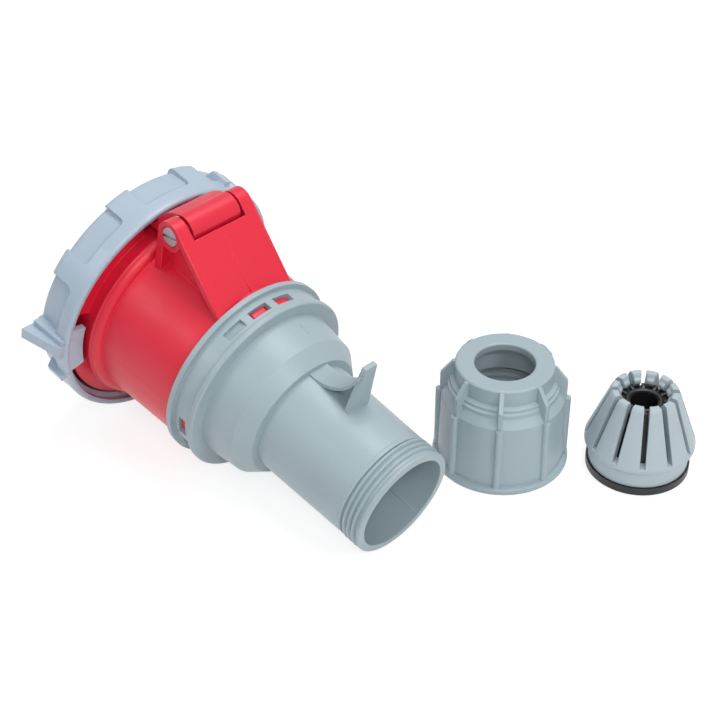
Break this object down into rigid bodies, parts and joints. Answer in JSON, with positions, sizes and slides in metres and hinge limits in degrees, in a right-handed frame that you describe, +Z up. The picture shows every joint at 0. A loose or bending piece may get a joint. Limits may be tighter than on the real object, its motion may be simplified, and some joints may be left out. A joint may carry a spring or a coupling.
{
  "type": "industrial socket",
  "caption": "Industrial coupler socket lying on its side, with a hinged spring lid, a bayonet ring and a cable neck, beside its loose gland nut and clamp cage.",
  "frame": {"origin": "on the floor, under the middle of the bounding box", "axes": "+Z up; +X level, from the lid towards the cable end; +Y level, away from the side that holds the hinge pin's head and towards the loose nut and cage"},
  "size_m": [0.2532, 0.2184, 0.1269],
  "materials": {
    "grey_plastic": "satin grey polyamide",
    "red_plastic": "satin red polyamide",
    "ring_plastic": "satin blue-grey polyamide",
    "cage_plastic": "satin grey polyamide",
    "dark_plastic": "matt black heat-proof plastic",
    "black_rubber": "matt black rubber",
    "plated_brass": "nickel-plated brass",
    "spring_steel": "bright spring steel",
    "zinc_steel": "zinc-plated steel"
  },
  "bodies": {
    "housing": {"rear_housing": "grey_plastic", "front_housing": "red_plastic", "housing_oring": "black_rubber", "contact_carrier": "dark_plastic", "carrier_clamp_plate": "dark_plastic", "pilot_contact": "plated_brass", "contact_bands": "spring_steel", "terminal_screws": "zinc_steel", "carrier_screws": "zinc_steel", "contact_earth": "plated_brass", "contact_neutral": "plated_brass", "contact_l3": "plated_brass", "contact_l2": "plated_brass", "contact_l1": "plated_brass", "hinge_pin": "zinc_steel", "lid_spring": "spring_steel", "gland_nut": "grey_plastic", "clamp_cage": "cage_plastic", "cable_seal": "black_rubber"},
    "lid_body": {"lid": "red_plastic", "lid_gasket": "black_rubber"},
    "ring_body": {"bayonet_ring": "ring_plastic"}
  },
  "joints": [
    {"name": "lid_hinge", "type": "hinge", "parent": "housing", "child": "lid_body", "pos_m": [-0.06054, -0.03828, 0.11917], "axis": [0, 1, 0], "range_deg": [0, 110], "stiffness_Nm_per_rad": 0.15, "springref_deg": -57.3},
    {"name": "ring_turn", "type": "hinge", "parent": "lid_body", "child": "ring_body", "pos_m": [-0.1018, -0.03828, 0.06275], "axis": [0.9764, 0, -0.2161], "range_deg": [0, 45]}
  ]
}
